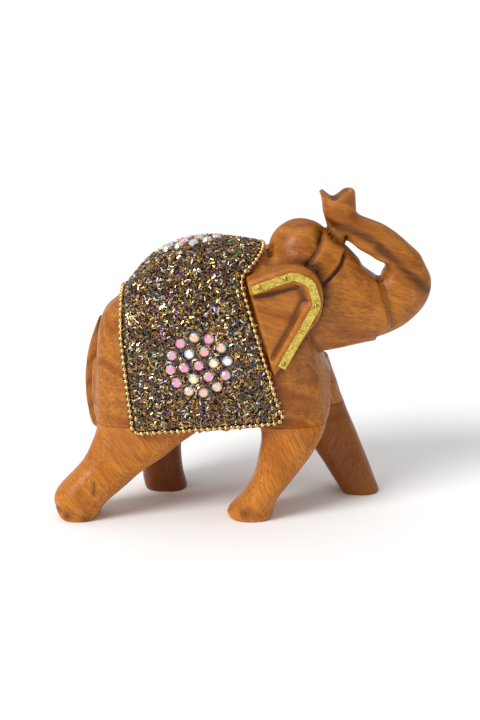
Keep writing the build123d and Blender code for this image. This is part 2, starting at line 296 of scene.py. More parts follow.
def between(values, low, high, soft):
    """1 between two limits, fading to 0 over a soft width outside them."""
    return ease(values, low - soft, low) * (1 - ease(values, high, high + soft))


def facing_side():
    return ease(abs(skin_normals[:, 1]), 0.15, 0.5)


def push(depth):
    """Moves the skin inwards by a depth for each point; a minus sign raises it."""
    global skin
    skin = skin - skin_normals * depth[:, None]


# dark makes the wood darker along the cut: painted shade in a groove or crease, or the real dark of a crack or chip.
def gouge(line, depth, width, mask, dark=0.0):
    gap = line_distance(skin, line)
    cut = np.exp(-((gap / width) ** 2)) * mask
    push(depth * cut)
    stain_and_shade[:] = np.maximum(stain_and_shade, dark * cut)


def raised_field(outline, height, edge, mask):
    push(-height * ease(signed_distance(skin, outline), -edge, edge) * mask)


# %% [markdown]
# ## The head
# The dome of the skull ends in a deep crease against a leaf-shaped brow, the cheek lies lower,
# and its front edge stands up in a soft ridge beside the root of the trunk. The trunk has a long
# groove down each side and a hollow mouth between two lobes at its tip. The grooves, the
# creases, the eye and the mouth are made darker as painted shade.

# %% Carve the head and trunk
side = facing_side()
depth_in = abs(skin[:, 1])
head_zone = between(depth_in, 4.0, 21.0, 1.5)

TRUNK_GROOVE = [(35.6, 126.3), (43.7, 124.1), (52.1, 121.0), (58.1, 116.6), (63.3, 111.6), (71.9, 104.4), (79.3, 98.0)]
TRUNK_EDGE = [(49.5, 129.2), (54.9, 127.6), (62.0, 123.4), (69.0, 118.0), (74.8, 111.2)]
DOME_CREASE = [(9.8, 108.4), (12.9, 116.0), (18.4, 122.6), (23.7, 125.6), (29.3, 126.2)]
DOME_FOOT = [(36.0, 126.5), (34.0, 121.5), (32.0, 116.8), (28.9, 112.4), (24.0, 108.2), (17.0, 108.0)]
BROW = [(34.5, 126.3), (42.9, 120.7), (43.0, 115.6), (41.0, 110.9), (34.4, 103.6), (24.3, 108.8), (29.8, 112.8), (34.0, 119.7)]
BROW_EDGE = [(43.8, 120.7), (43.7, 115.3), (41.6, 110.2), (38.0, 105.9), (34.4, 102.8)]
FACE_EDGE = [(57.2, 103.5), (59.0, 97.7), (60.2, 92.5), (61.4, 87.0), (61.6, 82.0)]
TRUNK_ROOT = [(58.7, 104.0), (60.9, 97.9), (62.2, 92.7), (63.6, 87.0), (63.8, 81.5)]
TIP_DARK_HOLLOW = [(36.5, 124.5), (40.0, 121.0), (44.5, 119.5)]
EYE = [(29.1, 108.0), (29.5, 108.1)]
DOME_SHADOW = [(33.0, 124.6), (32.6, 120.5)]
TIP_STEP = [(47.6, 132.4), (49.4, 130.9)]
FOREHEAD = [(44.6, 116.4), (50.2, 110.6)]
UNDER_TRUNK = [(50.5, 116.0), (57.0, 112.0)]
TIP_MIDDLE = 41.2
TIP_SPREAD = 0.17

lean = ease(102.0 - skin[:, 2], 0.0, 18.0) * 4.4 - ease(82.5 - skin[:, 2], 0.0, 4.0) * 5.6
at_face = between(skin[:, 0], 56.5, 58.5, 5.0) * between(skin[:, 2], 74.0, 102.0, 1.0)
skin[:, 0] += lean * at_face * ease(depth_in, 6.0, 9.0)

# The dark values below paint shade into the grooves, the creases and the eye, and the trunk groove gets a wide band of
# painted shade as well.
gouge(TRUNK_GROOVE, 1.0, 1.6, side * head_zone, dark=0.6)
groove_gap = line_distance(skin, TRUNK_GROOVE)
stain_and_shade[:] = np.maximum(stain_and_shade, 0.8 * np.exp(-((groove_gap / 2.3) ** 2)) * side * head_zone)
gouge(TRUNK_EDGE, 0.3, 0.6, side, dark=0.4)
gouge(DOME_CREASE, 0.45, 0.9, side * head_zone, dark=0.15)
gouge(DOME_FOOT, 1.2, 1.1, head_zone, dark=0.55)
gouge(DOME_SHADOW, 0.5, 2.2, side * head_zone, dark=0.75)
raised_field(BROW, 1.1, 0.7, side * head_zone)
gouge(BROW_EDGE, 1.4, 0.8, side * head_zone, dark=1.0)
gouge(FACE_EDGE, -0.9, 1.5, side * head_zone)
gouge(TRUNK_ROOT, 0.9, 2.2, head_zone, dark=0.2)
gouge(UNDER_TRUNK, -0.8, 3.0, ease(-skin_normals[:, 2], 0.2, 0.6))
gouge(EYE, 1.4, 0.8, side * head_zone, dark=1.0)
# A shallow hollow under the trunk tip, made darker.
gouge(TIP_DARK_HOLLOW, 0.5, 2.2, side * head_zone, dark=0.7)
gouge(TIP_STEP, 1.2, 0.9, ease(skin_normals[:, 2], 0.2, 0.6), dark=0.6)
over_forehead = ease(skin_normals[:, 2], 0.25, 0.6) * (depth_in < 15.0)
gouge(FOREHEAD, -1.4, 2.6, over_forehead * (1 - ease(skin[:, 2], 117.0, 119.0)))
shadow_line = line_distance(skin, FOREHEAD)
stain_and_shade[:] = np.maximum(stain_and_shade, 0.5 * np.exp(-((shadow_line / 1.6) ** 2)) * over_forehead)

tip_zone = ease(skin[:, 2], 125.0, 134.0) * (skin[:, 0] < 56.0)
skin[:, 0] += (skin[:, 0] - TIP_MIDDLE) * TIP_SPREAD * tip_zone
skin = sand(skin, 0.8 * ease(skin[:, 2], 131.0, 134.0), 10)
mouth = ease(skin_normals[:, 2], 0.15, 0.6) * ease(skin[:, 2], 132.0, 135.0)
mouth *= between(skin[:, 0], 39.0, 43.5, 2.5)
push(1.3 * mouth * (1 - np.clip(depth_in / 6.5, 0, 1) ** 2))
# The hollow mouth is made darker: painted shade.
stain_and_shade[:] = np.maximum(stain_and_shade, 0.45 * mouth)

# %% [markdown]
# ## The ears
# Each ear is a broad flap. Outside the brass its rim falls away round the edge, and inside it
# the flap is hollow, with a sharp fold under the top edge and a soft roll along the front. The
# fold, the foot of the roll and the cheek behind the ear's edge are made darker as painted shade.

# %% Carve the ears
EAR_EDGE = [(0.4, 106.7), (7.7, 110.9), (17.5, 112.8), (24.9, 112.4), (30.6, 109.0), (33.9, 104.0), (33.6, 95.4), (30.0, 87.5), (13.4, 65.6)]
EAR_FOLD = [(2.6, 99.3), (13.5, 101.8), (22.6, 104.0)]
EAR_SHADE = [(24.0, 102.4), (25.6, 98.6)]
EAR_ROLL = [(26.3, 96.0), (22.6, 87.8), (18.5, 80.3), (14.2, 72.4)]
EAR_ROLL_FOOT = [(24.0, 98.0), (20.0, 88.6), (16.0, 80.8), (12.6, 74.4)]
EAR_FLAP = [(-4.0, 104.0), (22.0, 108.5), (28.6, 97.0), (8.0, 64.0)]

side = facing_side()
depth_in = abs(skin[:, 1])
ear_zone = ease(depth_in, 22.0, 25.0)
edge_gap = line_distance(skin, EAR_EDGE)
push(1.4 * (1 - ease(edge_gap, 0.0, 3.2)) * ear_zone * side)
flap = ease(signed_distance(skin, EAR_FLAP), 1.5, 9.0)
push(0.9 * flap * ear_zone * side)
softened = np.maximum(1 - ease(edge_gap, 3.0, 5.0), ease(signed_distance(skin, EAR_FLAP), 3.0, 5.0))
skin = sand(skin, 0.8 * softened * ear_zone, 9)
gouge(EAR_FOLD, 1.2, 0.9, side * ear_zone, dark=0.8)
gouge(EAR_ROLL, -1.7, 1.35, side * ear_zone)
gouge(EAR_ROLL_FOOT, 0.7, 1.1, side * ear_zone, dark=0.4)
gouge(EAR_SHADE, 0.8, 1.2, side * ear_zone, dark=0.7)
# Painted shade on the cheek behind the ear's edge.
shade_behind_ear = ease(skin[:, 0], 14.0, 24.0) * (1 - ear_zone) * (1 - ease(edge_gap, 1.0, 5.0))
stain_and_shade[:] = np.maximum(stain_and_shade, 0.8 * shade_behind_ear * between(skin[:, 2], 64.0, 112.0, 3.0))

# %% [markdown]
# ## Hand-cut unevenness
# Nothing on a carving is quite fair. A slow noise lifts and sinks the skin by a tenth or two of
# a millimetre, as flat strokes of the knife would, and the nicks of handling are cut last: a
# chip at one heel and a short drying crack above it. Three spots at the toes, near the floor,
# are made darker.

# %% Uneven the skin and cut the nicks
from mathutils import noise

side = facing_side()
strokes = np.empty(count)
for index, place in enumerate(skin):
    x, y, z = place
    slow = noise.noise(Vector((x * 0.11, y * 0.11, z * 0.11)))
    facet = noise.cell_vector(Vector((x * 0.16, y * 0.16 + 40.0, z * 0.16)))[0]
    strokes[index] = 0.22 * slow + 0.05 * facet
push(strokes * ease(skin[:, 2], 1.0, 4.0))
gouge([(-63.2, 18.3), (-62.9, 15.5), (-63.3, 12.6)], 0.7, 0.6, (skin[:, 1] < -20) * side, dark=0.8)
gouge([(-79.6, 6.0), (-78.0, 4.6)], 1.0, 1.2, (skin[:, 1] < -8) * 1.0, dark=0.7)
# Three spots at the toes, near the floor, are made darker.
TOE_DARK_SPOTS = [((-75.2, 3.4), 2.4), ((-67.6, 1.6), 2.2), ((0.9, 4.6), 2.2)]
for (x, z), reach in TOE_DARK_SPOTS:
    gap = np.hypot(skin[:, 0] - x, skin[:, 2] - z)
    stain_and_shade[:] = np.maximum(stain_and_shade, 0.8 * np.exp(-((gap / reach) ** 2)) * (skin[:, 1] < -8))
skin = sand(skin, np.full(count, 0.4), 1)
skin[:, 2] = np.maximum(skin[:, 2], 0.0)
move_points(carved, skin)
skin_normals = normals_of(carved)

# %% [markdown]
# ## Painted shade in the hollows
# Every hollow is painted darker, as painted shade, and the edges are made lighter. How hollow
# the skin is at a point shows in how far the sanded surface lies above it, so the two are
# compared and kept as an attribute that the wood's material reads.

# %% Measure the hollows
sanded = sand(skin.copy(), np.full(count, 0.8), 22)
hollow = ((sanded - skin) * skin_normals).sum(axis=1)
for _ in range(3):
    stain_and_shade = 0.5 * stain_and_shade + 0.5 * neighbour_mean(stain_and_shade)
hollow = np.clip(hollow / 0.9, -1, 1)
print("hollow from", round(hollow.min(), 2), "to", round(hollow.max(), 2))


def keep_tones(piece, source_points, tones):
    """Gives a piece its values of stain and painted shade, and of hollowness, from the nearest points of the whole
    skin.
    """
    own = points_mm(piece)
    tree = KDTree(len(source_points))
    for index, place in enumerate(source_points):
        tree.insert(place, index)
    tree.balance()
    nearest = np.array([tree.find(place)[1] for place in own])
    for name, values in tones.items():
        layer = piece.data.attributes.new(name, "FLOAT", "POINT")
        layer.data.foreach_set("value", values[nearest].astype(np.float32))


# %% [markdown]
# ## Cutting the legs off again
# Each leg is its own block, with its own grain, so the skin is cut at the glued joint with
# boolean cutters. A boolean leaves both sides closed, and it bores the dowel holes in the same
# step. A slight chamfer round each cut leaves the fine dark seam of a glued joint.

# %% Cut the joints and bore for the dowels
FAR = 0.3
REAR_SEAT = -16.6 * MM
FRONT_SEAT = 5.9 * MM
BELLY_CLEAR = 34.0 * MM


top = joint_z * MM
zones = {
    "leg_rear_right": [((-FAR, -FAR, -0.01), (REAR_SEAT, 0, top))],
    "leg_rear_left": [((-FAR, 0, -0.01), (REAR_SEAT, FAR, top))],
    "leg_front_right": [
        ((FRONT_SEAT, -FAR, -0.01), (FAR, 0, top)),
        ((REAR_SEAT, -FAR, -0.01), (FRONT_SEAT, 0, BELLY_CLEAR)),
    ],
    "leg_front_left": [((FRONT_SEAT, 0, -0.01), (FAR, FAR, top))],
}
bores = []
for leg in LEGS:
    low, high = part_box(leg.replace("leg", "dowel"))
    deselect()
    bpy.ops.mesh.primitive_cylinder_add(
        vertices=32, radius=(high.x - low.x) / 2 + 0.05 * MM,
        depth=high.z - low.z + 0.5 * MM, location=(low + high) / 2)
    bpy.ops.object.transform_apply(location=True, rotation=True, scale=True)
    bores.append(bpy.context.object)

wood = {}
torso_wood = duplicate(carved, "torso_carved")
for leg in LEGS:
    cutters = [box_cutter("zone", *zone) for zone in zones[leg]]
    for other in cutters[1:]:
        cut(cutters[0], other, "UNION")
        discard(other)
    piece = duplicate(carved, leg + "_carved")
    cut(piece, cutters[0], "INTERSECT")
    cut(torso_wood, cutters[0], "DIFFERENCE")
    cut(piece, bores[LEGS.index(leg)], "DIFFERENCE")
    cut(torso_wood, bores[LEGS.index(leg)], "DIFFERENCE")
    wood[leg] = piece
    discard(cutters[0])
discard(*bores, carved)
wood["torso"] = torso_wood

SEAM_CUT = 0.12
SEAM_STAIN = 0.6
dowel_axes = [(sum(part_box(leg.replace("leg", "dowel")), Vector()) / 2 / MM).to_2d() for leg in LEGS]
for name, piece in wood.items():
    places = points_mm(piece)
    normals = normals_of(piece)
    keep_tones(piece, skin, {"stain_and_shade": stain_and_shade, "hollow": hollow})
    at_seam = abs(places[:, 2] - joint_z) < 0.02
    for axis in dowel_axes:
        at_seam &= np.hypot(places[:, 0] - axis.x, places[:, 1] - axis.y) > 3.6
    if name == "torso":
        at_seam &= (places[:, 0] < REAR_SEAT / MM) | (places[:, 0] > FRONT_SEAT / MM)
    flat = normals[:, :2] / np.maximum(np.hypot(normals[:, 0], normals[:, 1]), 1e-6)[:, None]
    places[at_seam, :2] -= SEAM_CUT * flat[at_seam]
    move_points(piece, places)
    layer = piece.data.attributes["stain_and_shade"]
    values = np.empty(len(places), np.float32)
    layer.data.foreach_get("value", values)
    values[at_seam] = SEAM_STAIN
    layer.data.foreach_set("value", values)
    print(name, "faces", len(piece.data.polygons), "seam points", int(at_seam.sum()))

# %% [markdown]
# ## The tail
# The tail is a strip let into a slot in the rump, with its grain running down it. Its CAD node
# is a plain sawn strip, so a copy is remeshed finely, its edges are sanded round, and three
# slanting cuts mark it, as a carver suggests the fold of the hide.

# %% Carve the tail
tail = copy_of_node("tail", "tail_carved")
tail.data.remesh_voxel_size = 0.45 * MM
bpy.ops.object.voxel_remesh()
pairs = edges_of(tail)
count = len(tail.data.vertices)
degree = np.bincount(pairs.ravel(), minlength=count).astype(float)
skin = points_mm(tail)
in_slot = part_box("tail")[1].x / MM
skin = sand(skin, 0.7 * ease(in_slot - skin[:, 0], 0.5, 2.5), 26)
move_points(tail, skin)
skin_normals = normals_of(tail)
stain_and_shade = np.zeros(count)
everywhere = np.ones(count)
# The slanting cuts are made darker as painted shade.
for low_z in (41.0, 52.0, 61.0, 71.0):
    gouge([(-70.0, low_z), (-62.0, low_z + 9.0)], 0.12, 1.0, everywhere, dark=0.55)
# Darker towards the end that goes into the slot: painted shade where the tail meets the rump.
stain_and_shade = np.maximum(stain_and_shade, ease(skin[:, 0], in_slot - 2.2, in_slot - 0.6))
move_points(tail, skin)
keep_tones(tail, skin, {"stain_and_shade": stain_and_shade, "hollow": np.zeros(count)})
wood["tail"] = tail
print("tail faces:", len(tail.data.polygons))

# %% [markdown]
# ## Varnished wood
# The wood is a close-grained tropical hardwood under a thin satin varnish. Seen close it has
# four things: broad bands of lighter and darker wood, fine streaks along the grain, short dark
# pores, and painted shade in the hollows and creases, with lighter edges and the dark seams.
# Each is a noise stretched along the grain, so one function makes the finish and each block
# turns it to its own direction, with colours of its own; the far legs are darker as painted shade.

# %% Make the wood finish


def node_tree(material):
    material.use_nodes = True
    tree = material.node_tree
    shader = tree.nodes["Principled BSDF"]
    return tree, shader


def add(tree, kind, **settings):
    node = tree.nodes.new(kind)
    for key, value in settings.items():
        if key in node.inputs:
            node.inputs[key].default_value = value
        else:
            setattr(node, key, value)
    return node


def stretched_noise(tree, vector, scale, detail=4.0, roughness=0.55, distortion=0.0):
    mapping = add(tree, "ShaderNodeMapping")
    mapping.inputs["Scale"].default_value = scale
    tree.links.new(vector, mapping.inputs["Vector"])
    pattern = add(tree, "ShaderNodeTexNoise")
    pattern.inputs["Scale"].default_value = 1.0
    pattern.inputs["Detail"].default_value = detail
    pattern.inputs["Roughness"].default_value = roughness
    pattern.inputs["Distortion"].default_value = distortion
    tree.links.new(mapping.outputs["Vector"], pattern.inputs["Vector"])
    return pattern.outputs["Fac"]


def ramp(tree, value, stops):
    band = add(tree, "ShaderNodeValToRGB")
    elements = band.color_ramp.elements
    while len(elements) < len(stops):
        elements.new(0.5)
    for element, (place, colour) in zip(elements, stops):
        element.position = place
        element.color = colour if len(colour) == 4 else (*colour, 1)
    tree.links.new(value, band.inputs["Fac"])
    return band.outputs["Color"]


def grey(level):
    return (level, level, level)


def mix(tree, factor, first, second, blend="MIX"):
    node = add(tree, "ShaderNodeMix", data_type="RGBA", blend_type=blend)
    for socket, value in ((0, factor), (6, first), (7, second)):
        if isinstance(value, (int, float)):
            node.inputs[socket].default_value = value
        elif isinstance(value, tuple):
            node.inputs[socket].default_value = (*value, 1)
        else:
            tree.links.new(value, node.inputs[socket])
    return node.outputs[2]


def math_node(tree, operation, first, second=None):
    node = add(tree, "ShaderNodeMath", operation=operation)
    for socket, value in ((0, first), (1, second)):
        if isinstance(value, (int, float)):
            node.inputs[socket].default_value = value
        elif value is not None:
            tree.links.new(value, node.inputs[socket])
    return node.outputs[0]


def attribute(tree, name, output="Fac"):
    return add(tree, "ShaderNodeAttribute", attribute_name=name).outputs[output]


def wood_finish(name, grain_angle, light, middle, dark, flush, tones=True):
    """A varnished wood whose grain runs along X, turned by an angle in side view."""
    material = bpy.data.materials.new(name)
    tree, shader = node_tree(material)
    place = add(tree, "ShaderNodeTexCoord").outputs["Object"]
    turn = add(tree, "ShaderNodeMapping")
    turn.inputs["Rotation"].default_value = (math.radians(4), math.radians(grain_angle), math.radians(3))
    tree.links.new(place, turn.inputs["Vector"])
    along = turn.outputs["Vector"]
    bands = stretched_noise(tree, along, (16, 90, 90), 3.0, 0.5, 0.6)
    streaks = stretched_noise(tree, along, (70, 1300, 1300), 5.0, 0.6)
    pores = stretched_noise(tree, along, (330, 3300, 3300), 2.0, 0.5)
    patches = stretched_noise(tree, along, (45, 60, 60), 3.0, 0.6)
    colour = ramp(tree, bands, [(0.34, middle), (0.52, light), (0.66, middle)])
    colour = mix(tree, ramp(tree, streaks, [(0.40, grey(0.0)), (0.68, grey(0.62))]), colour, dark)
    colour = mix(tree, ramp(tree, patches, [(0.48, grey(0.0)), (0.72, grey(0.42))]), colour, flush)
    pore_mask = ramp(tree, pores, [(0.60, grey(0.0)), (0.70, grey(1.0))])
    colour = mix(tree, math_node(tree, "MULTIPLY", pore_mask, 0.5), colour, dark)
    if tones:
        hollow = attribute(tree, "hollow")
        hollow_shade = ramp(tree, hollow, [(0.10, grey(0.0)), (0.75, grey(0.85))])
        lighter_edges = ramp(tree, math_node(tree, "MULTIPLY", hollow, -1.0), [(0.12, grey(0.0)), (0.70, grey(0.5))])
        rough_edge = stretched_noise(tree, along, (260, 700, 700), 3.0, 0.6)
        stain_and_shade_amount = math_node(tree, "MULTIPLY", attribute(tree, "stain_and_shade"),
                                 ramp(tree, rough_edge, [(0.30, grey(0.55)), (0.60, grey(1.0))]))
        # Lighter on the edges, darker in the hollows as painted shade, then darker where the stain values are high:
        # real dark marks and painted shade in the creases.
        colour = mix(tree, lighter_edges, colour, light)
        colour = mix(tree, hollow_shade, colour, dark)
        colour = mix(tree, stain_and_shade_amount, colour, tuple(0.30 * value for value in dark))
    tree.links.new(colour, shader.inputs["Base Color"])
    gloss = stretched_noise(tree, along, (180, 420, 420), 3.0, 0.6)
    tree.links.new(ramp(tree, gloss, [(0.3, grey(0.34)), (0.7, grey(0.52))]), shader.inputs["Roughness"])
    shader.inputs["Specular IOR Level"].default_value = 0.22
    shader.inputs["Coat Weight"].default_value = 0.13
    shader.inputs["Coat Roughness"].default_value = 0.22
    fine = add(tree, "ShaderNodeBump", Strength=0.30, Distance=0.00010)
    tree.links.new(streaks, fine.inputs["Height"])
    cuts = add(tree, "ShaderNodeBump", Strength=0.35, Distance=0.00008, invert=True)
    tree.links.new(pore_mask, cuts.inputs["Height"])
    tree.links.new(fine.outputs["Normal"], cuts.inputs["Normal"])
    strokes = add(tree, "ShaderNodeBump", Strength=0.30, Distance=0.0004)
    tree.links.new(stretched_noise(tree, along, (90, 330, 330), 2.0, 0.5), strokes.inputs["Height"])
    tree.links.new(cuts.outputs["Normal"], strokes.inputs["Normal"])
    tree.links.new(strokes.outputs["Normal"], shader.inputs["Normal"])
    return material


HONEY = (0.53, 0.190, 0.022)
CHESTNUT = (0.31, 0.084, 0.004)
UMBER = (0.125, 0.032, 0.003)
ROSE = (0.38, 0.118, 0.032)
finishes = {
    "torso": wood_finish("wood_torso", -18, HONEY, CHESTNUT, UMBER, ROSE),
    "leg_rear_right": wood_finish("wood_leg_rear_right", -50, (0.62, 0.220, 0.022), (0.45, 0.128, 0.007), UMBER, ROSE),
    "leg_front_right": wood_finish("wood_leg_front_right", -62, (0.62, 0.222, 0.024), (0.46, 0.135, 0.008), UMBER, ROSE),
    # The two legs on the far side get darker colours: painted shade under the body.
    "leg_front_left": wood_finish("wood_leg_front_left", 62, (0.33, 0.098, 0.009), (0.235, 0.064, 0.005), UMBER, (0.24, 0.065, 0.012)),
    "leg_rear_left": wood_finish("wood_leg_rear_left", -80, (0.21, 0.055, 0.006), (0.145, 0.034, 0.003), (0.07, 0.016, 0.002), (0.16, 0.038, 0.008)),
    "tail": wood_finish("wood_tail", -86, HONEY, (0.46, 0.165, 0.03), UMBER, CHESTNUT),
}
for name, piece in wood.items():
    piece.data.materials.clear()
    piece.data.materials.append(finishes[name])
    pick(piece)
    bpy.ops.object.shade_smooth_by_angle(angle=math.radians(50))
    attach(piece, "root")
    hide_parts(name)

dowel_finish = wood_finish("wood_dowel", -90, (0.60, 0.38, 0.17), (0.52, 0.31, 0.13), (0.34, 0.17, 0.06), (0.55, 0.33, 0.14), tones=False)
for leg in LEGS:
    dowel = nodes[leg.replace("leg", "dowel")]
    dowel.data.materials.clear()
    dowel.data.materials.append(dowel_finish)

# %% [markdown]
# ## The saddle cloth
# Under the beads lies a real piece of dark cloth, draped over the back and glued down. Its CAD
# node is a skin one millimetre thick, so the outer faces of a copy are kept as the drape, their
# small faces evened out, and a thickness is put back under them. Only its edge shows, below the
# ball chain, so the cloth isn't simulated: it can't hang any other way than on the carved back.

# %% Drape the cloth


def outward(places):
    """The way out of the body: sideways on the flanks, and fanning out over the back."""
    way = np.zeros_like(places)
    way[:, 1] = places[:, 1]
    way[:, 2] = np.maximum(places[:, 2] - 88.0, 0.0)
    return way / np.maximum(np.linalg.norm(way, axis=1), 1e-6)[:, None]


def face_values(piece):
    """Centres in millimetres, normals and areas in square millimetres of a piece's faces."""
    size = len(piece.data.polygons)
    centres, normals, areas = np.empty(size * 3, np.float32), np.empty(size * 3, np.float32), np.empty(size, np.float32)
    piece.data.polygons.foreach_get("center", centres)
    piece.data.polygons.foreach_get("normal", normals)
    piece.data.polygons.foreach_get("area", areas)
    return centres.reshape(-1, 3) / MM, normals.reshape(-1, 3), areas / MM**2


def keep_outer_faces(piece, least=0.5):
    """Deletes all but the faces that look away from the body."""
    centres, normals, _ = face_values(piece)
    turned_out = (outward(centres) * normals).sum(axis=1) > least
    piece.data.polygons.foreach_set("select", ~turned_out)
    pick(piece)
    bpy.ops.object.mode_set(mode="EDIT")
    bpy.ops.mesh.select_mode(type="FACE")
    bpy.ops.mesh.delete(type="FACE")
    bpy.ops.object.mode_set(mode="OBJECT")


def apply(piece, kind, **settings):
    pick(piece)
    step = piece.modifiers.new(kind.lower(), kind)
    for key, value in settings.items():
        setattr(step, key, value)
    bpy.ops.object.modifier_apply(modifier=step.name)


cloth = copy_of_node("saddle_cloth", "saddle_drape")
keep_outer_faces(cloth)
bpy.ops.object.mode_set(mode="EDIT")
bpy.ops.mesh.select_all(action="SELECT")
bpy.ops.mesh.beautify_fill()
bpy.ops.mesh.tris_convert_to_quads()
bpy.ops.mesh.subdivide(number_cuts=1)
bpy.ops.object.mode_set(mode="OBJECT")
cloth_area = face_values(cloth)[2].sum()
apply(cloth, "SOLIDIFY", thickness=0.9 * MM, offset=-1, use_even_offset=True)
bpy.ops.object.shade_smooth_by_angle(angle=math.radians(40))
print("cloth area in mm2:", round(float(cloth_area)), "faces:", len(cloth.data.polygons))

fabric = bpy.data.materials.new("dark_cloth")
tree, shader = node_tree(fabric)
place = add(tree, "ShaderNodeTexCoord").outputs["Object"]
warp = stretched_noise(tree, place, (2600, 500, 500), 2.0)
weft = stretched_noise(tree, place, (500, 2600, 2600), 2.0)
weave = math_node(tree, "ADD", warp, weft)
tree.links.new(ramp(tree, weave, [(0.35, (0.018, 0.010, 0.007)), (0.75, (0.055, 0.032, 0.020))]), shader.inputs["Base Color"])
shader.inputs["Roughness"].default_value = 0.85
shader.inputs["Sheen Weight"].default_value = 0.25
threads = add(tree, "ShaderNodeBump", Strength=0.6, Distance=0.00015)
tree.links.new(weave, threads.inputs["Height"])
tree.links.new(threads.outputs["Normal"], shader.inputs["Normal"])
cloth.data.materials.clear()
cloth.data.materials.append(fabric)
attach(cloth, "root")
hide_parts("saddle_cloth")

# %% [markdown]
# ## The stones
# Each flower has nineteen flat-backed stones with a clear body and an iridescent coat: a table
# in the middle, then a ring of facets twisted half a step against the girdle. One stone is made
# from a cylinder, extruded, drawn in and turned, so that its sides break into triangles, and it
# is copied to every seat that the CAD stones give. Each facet catches the room at its own angle,
# so each facet is painted its own pastel tint as a painted reflection of the coat, and the white
# tints are painted highlights.

# %% Cut one stone and set the flowers
STONE_SIDES = 10
STONE_REFLECTION_TINTS = [
    (1.0, 0.42, 0.36), (1.0, 0.62, 0.42), (0.98, 0.36, 0.52), (0.55, 0.95, 0.88), (0.30, 0.85, 0.82),
    (0.62, 0.98, 0.62), (0.97, 0.97, 1.0), (0.95, 0.95, 0.90), (0.72, 0.66, 0.98), (0.92, 0.45, 0.90),
    (0.42, 0.62, 1.0), (1.0, 0.90, 0.55)]


def grow_ring(rise, factor, turn):
    """Extrudes the chosen top face, draws it in and turns it."""
    bpy.ops.mesh.extrude_region_move(TRANSFORM_OT_translate={"value": (0, 0, rise)})
    bpy.ops.transform.resize(value=(factor, factor, 1), center_override=(0, 0, 0))
    bpy.ops.transform.rotate(value=turn, orient_axis="Z", center_override=(0, 0, 0))


def select_top(piece):
    bpy.ops.mesh.select_all(action="DESELECT")
    bpy.ops.object.mode_set(mode="OBJECT")
    heights = [face.center.z for face in piece.data.polygons]
    for face in piece.data.polygons:
        face.select = face.center.z > max(heights) - 1e-6 and face.normal.z > 0.9
    bpy.ops.object.mode_set(mode="EDIT")
    bpy.ops.mesh.select_mode(type="FACE")


deselect()
bpy.ops.mesh.primitive_cylinder_add(vertices=STONE_SIDES, radius=2.5 * MM, depth=0.6 * MM, location=(0, 0, 0.3 * MM))
bpy.ops.object.transform_apply(location=True, rotation=True, scale=True)
stone = bpy.context.object
bpy.ops.object.mode_set(mode="EDIT")
select_top(stone)
half_step = math.pi / STONE_SIDES
grow_ring(0.72 * MM, 0.82, half_step)
grow_ring(0.62 * MM, 0.70, half_step)
bpy.ops.mesh.select_all(action="SELECT")
bpy.ops.mesh.quads_convert_to_tris(quad_method="SHORTEST_DIAGONAL")
bpy.ops.mesh.normals_make_consistent(inside=False)
bpy.ops.object.mode_set(mode="OBJECT")
print("facets on a stone:", len(stone.data.polygons))


def seats_of(name):
    """Base centre and outward normal of each loose part of a CAD node."""
    whole = copy_of_node(name, "parts")
    bpy.ops.object.mode_set(mode="EDIT")
    bpy.ops.mesh.select_all(action="SELECT")
    bpy.ops.mesh.separate(type="LOOSE")
    bpy.ops.object.mode_set(mode="OBJECT")
    seats = []
    for part in list(bpy.context.selected_objects):
        places = points_mm(part)
        middle = places.mean(axis=0)
        _, axes = np.linalg.eigh(np.cov((places - middle).T))
        normal = axes[:, 0]
        if normal @ outward(middle[None])[0] < 0:
            normal = -normal
        base = middle + normal * ((places - middle) @ normal).min()
        seats.append((base, normal))
        discard(part)
    return seats


def turned_copies(template, spots):
    """One mesh of many copies of a template, each with its own matrix in millimetres."""
    shape = points_mm(template)
    faces = [list(face.vertices) for face in template.data.polygons]
    places, all_faces = [], []
    for index, matrix in enumerate(spots):
        turned = shape @ np.array(matrix.to_3x3()).T + np.array(matrix.translation)
        places.append(turned)
        start = index * len(shape)
        all_faces += [[start + corner for corner in face] for face in faces]
    return np.concatenate(places) * MM, all_faces


def matrix_on(place, normal, spin):
    """A place whose Z looks along a normal, turned about it."""
    up = Vector(normal).to_track_quat("Z", "Y").to_matrix().to_4x4()
    return Matrix.Translation(Vector(place)) @ up @ Matrix.Rotation(spin, 4, "Z")


def paint_faces(piece, tints):
    """Gives each face its own colour, kept at the face's corners."""
    layer = piece.data.attributes.new("tint", "FLOAT_COLOR", "CORNER")
    rows = []
    for face, tint in zip(piece.data.polygons, tints):
        rows += [(*tint, 1.0)] * face.loop_total
    layer.data.foreach_set("color", np.array(rows, np.float32).ravel())


crystal = bpy.data.materials.new("iridescent_crystal")
tree, shader = node_tree(crystal)
tint = attribute(tree, "tint", "Color")
place = add(tree, "ShaderNodeTexCoord").outputs["Object"]
shift = stretched_noise(tree, place, (500, 500, 500), 1.0)
sheen = ramp(tree, shift, [(0.35, (1.0, 0.70, 0.72)), (0.5, (1.0, 1.0, 1.0)), (0.65, (0.70, 1.0, 0.95))])
tree.links.new(mix(tree, 0.6, tint, sheen, "MULTIPLY"), shader.inputs["Base Color"])
shader.inputs["Metallic"].default_value = 0.55
shader.inputs["Coat Weight"].default_value = 1.0
shader.inputs["Coat Roughness"].default_value = 0.02
tree.links.new(ramp(tree, shift, [(0.3, grey(0.05)), (0.7, grey(0.14))]), shader.inputs["Roughness"])
film = add(tree, "ShaderNodeBump", Strength=0.1, Distance=0.0001)
tree.links.new(shift, film.inputs["Height"])
tree.links.new(film.outputs["Normal"], shader.inputs["Normal"])

